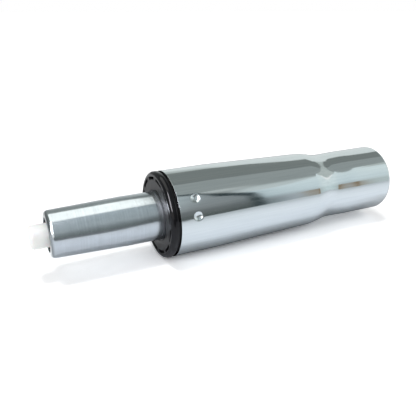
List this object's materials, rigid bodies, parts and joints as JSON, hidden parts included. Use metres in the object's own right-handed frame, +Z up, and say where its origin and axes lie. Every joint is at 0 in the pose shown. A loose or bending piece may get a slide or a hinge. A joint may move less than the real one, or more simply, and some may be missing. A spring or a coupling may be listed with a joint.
{
  "type": "stool lift cylinder",
  "caption": "Short gas lift for a stool: a chromed base column with a black guide collar, a ground steel pressure tube with a seat taper, and a release button.",
  "frame": {"origin": "on the lift axis, in the plane at the large end of the base taper, where the stool's base grips it", "axes": "+X along the lift axis towards the base end, so the release button points along -X; +Z up, as the lift lies on its side; +Y away from the pictured side"},
  "size_m": [0.228, 0.0502, 0.0502],
  "materials": {
    "chrome_plate": "bright chrome plate on drawn steel, with soft streaks along the tube",
    "black_moulding": "black glass-filled plastic, glossy on the bead and satin on the web",
    "ground_steel": "centreless ground steel with fine lines round it",
    "white_moulding": "white moulded plastic, semi-gloss",
    "zinc_steel": "pressed and turned steel, zinc plated",
    "bearing_steel": "hardened and polished steel",
    "spring_steel": "black oxide on spring steel",
    "brass": "turned brass",
    "rod_chrome": "hard chrome, ground and polished",
    "black_rubber": "moulded black rubber, dull",
    "natural_plastic": "natural acetal, satin",
    "dark_ring_plastic": "filled sliding plastic, satin",
    "drawn_steel": "drawn steel tube, oiled",
    "turned_aluminium": "turned aluminium"
  },
  "bodies": {
    "column": {"outer_column": "chrome_plate", "guide_bush": "black_moulding", "base_plate": "zinc_steel", "lower_race": "bearing_steel"},
    "cage": {"ball_cage": "brass", "bearing_balls": "bearing_steel"},
    "rod": {"upper_race": "bearing_steel", "cup_washer": "zinc_steel", "rubber_bumper": "black_rubber", "piston_rod": "rod_chrome", "clip_washer": "zinc_steel", "retaining_clip": "spring_steel", "piston_washer": "zinc_steel", "piston": "natural_plastic", "piston_ring": "dark_ring_plastic", "piston_nut": "zinc_steel"},
    "cylinder": {"pressure_tube": "ground_steel", "support_washer": "zinc_steel", "rod_seal": "black_rubber", "rod_guide": "natural_plastic", "inner_tube": "drawn_steel", "stroke_spacer": "natural_plastic", "port_sleeve": "brass", "valve_body": "turned_aluminium", "body_seals": "black_rubber", "pin_seals": "black_rubber"},
    "button": {"valve_pin": "zinc_steel", "release_button": "white_moulding"}
  },
  "joints": [
    {"name": "swivel", "type": "hinge", "parent": "column", "child": "rod", "pos_m": [0, 0, 0], "axis": [1, 0, 0], "continuous": true},
    {"name": "cage_roll", "type": "hinge", "parent": "column", "child": "cage", "pos_m": [0, 0, 0], "axis": [1, 0, 0], "continuous": true},
    {"name": "height", "type": "slide", "parent": "rod", "child": "cylinder", "axis": [-1, 0, 0], "range_m": [0, 0.06]},
    {"name": "release", "type": "slide", "parent": "cylinder", "child": "button", "axis": [1, 0, 0], "range_m": [0, 0.003], "stiffness_N_per_m": 2000, "springref_m": -0.002}
  ],
  "couplings": [
    {"joint": "cage_roll", "follows": "swivel", "ratio": 0.5}
  ]
}
